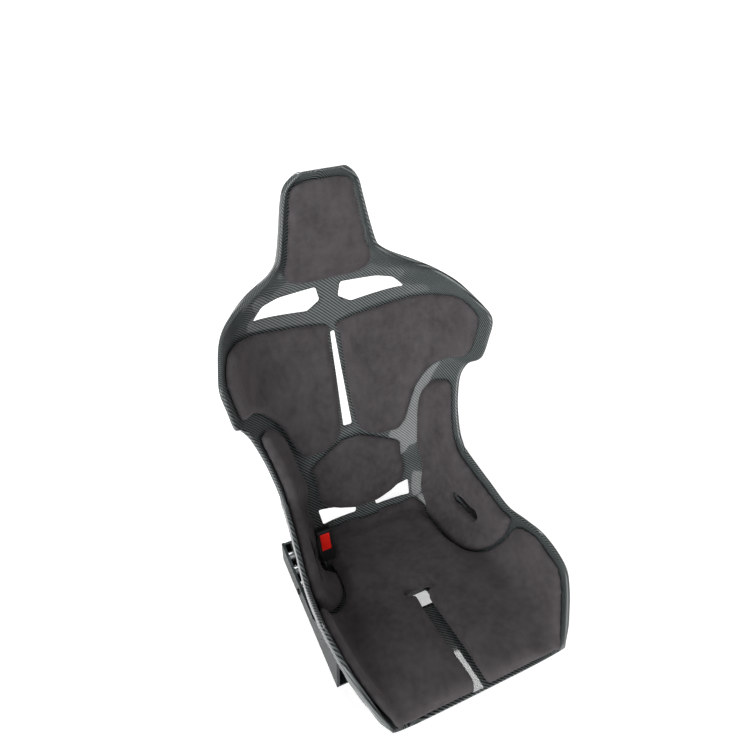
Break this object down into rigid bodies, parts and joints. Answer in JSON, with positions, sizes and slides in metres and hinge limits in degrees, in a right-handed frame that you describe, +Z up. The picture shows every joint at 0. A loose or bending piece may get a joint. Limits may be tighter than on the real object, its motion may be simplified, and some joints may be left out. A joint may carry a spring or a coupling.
{
  "type": "fixed-back racing bucket seat",
  "caption": "Fixed-back bucket seat: carbon shell with harness slots, loose suede pads, aluminium side mounts and a stalk buckle.",
  "frame": {"origin": "middle of the four floor fixings, on the underside of the side mounts", "axes": "+Z up, -Y is the way the seat faces, +X is the occupant's left"},
  "size_m": [0.588, 0.7204, 0.8553],
  "materials": {
    "carbon": "2x2 twill carbon laminate under satin clear coat",
    "suede": "charcoal microfibre suede over foam",
    "hook_tape": "woven hook tape",
    "black_trim": "moulded nylon, fine texture",
    "anodised_mount": "dark grey hard-anodised plate",
    "black_screw": "black oxide steel",
    "spacer_aluminium": "turned aluminium",
    "bonded_block": "solid glass-filled laminate",
    "zinc_steel": "zinc-plated steel",
    "cable_sleeve": "ribbed nylon sleeve",
    "buckle_black": "moulded, fine spark texture",
    "button_red": "moulded red, satin"
  },
  "bodies": {
    "seat": {"seat_shell": "carbon", "head_pad": "suede", "shoulder_pad_left": "suede", "shoulder_pad_right": "suede", "lumbar_pad": "suede", "rib_pad_left": "suede", "rib_pad_right": "suede", "seat_cushion": "suede", "hook_tapes": "hook_tape", "lap_slot_trim_left": "black_trim", "lap_slot_trim_right": "black_trim", "crotch_slot_trim": "black_trim", "side_mount_left": "anodised_mount", "side_mount_right": "anodised_mount", "mount_screws_left": "black_screw", "mount_screws_right": "black_screw", "mount_spacers": "spacer_aluminium", "threaded_inserts": "zinc_steel", "shell_block_front_left": "bonded_block", "shell_block_front_right": "bonded_block", "shell_block_rear_left": "bonded_block", "shell_block_rear_right": "bonded_block", "anchor_bolt": "black_screw", "anchor_washer": "zinc_steel", "anchor_nut": "zinc_steel"},
    "buckle": {"buckle_cover_front": "buckle_black", "buckle_cover_rear": "buckle_black", "buckle_frame": "zinc_steel", "button_springs": "zinc_steel", "buckle_rivets": "zinc_steel", "cable_collar": "zinc_steel", "buckle_cable": "cable_sleeve", "cable_eye": "zinc_steel"},
    "button": {"buckle_button": "button_red"},
    "latch": {"buckle_latch": "zinc_steel"}
  },
  "joints": [
    {"name": "stalk_swing", "type": "hinge", "parent": "seat", "child": "buckle", "pos_m": [-0.2054, 0.05, 0.03], "axis": [1, 0, 0], "range_deg": [-4, 4], "stiffness_Nm_per_rad": 3},
    {"name": "button_press", "type": "slide", "parent": "buckle", "child": "button", "axis": [0, 0.9563, -0.2924], "range_m": [0, 0.0035], "stiffness_N_per_m": 600, "springref_m": -0.002},
    {"name": "latch_lift", "type": "slide", "parent": "buckle", "child": "latch", "axis": [0, 0.9563, -0.2924], "range_m": [0, 0.00175]}
  ],
  "couplings": [
    {"joint": "latch_lift", "follows": "button_press", "ratio": 0.5}
  ]
}
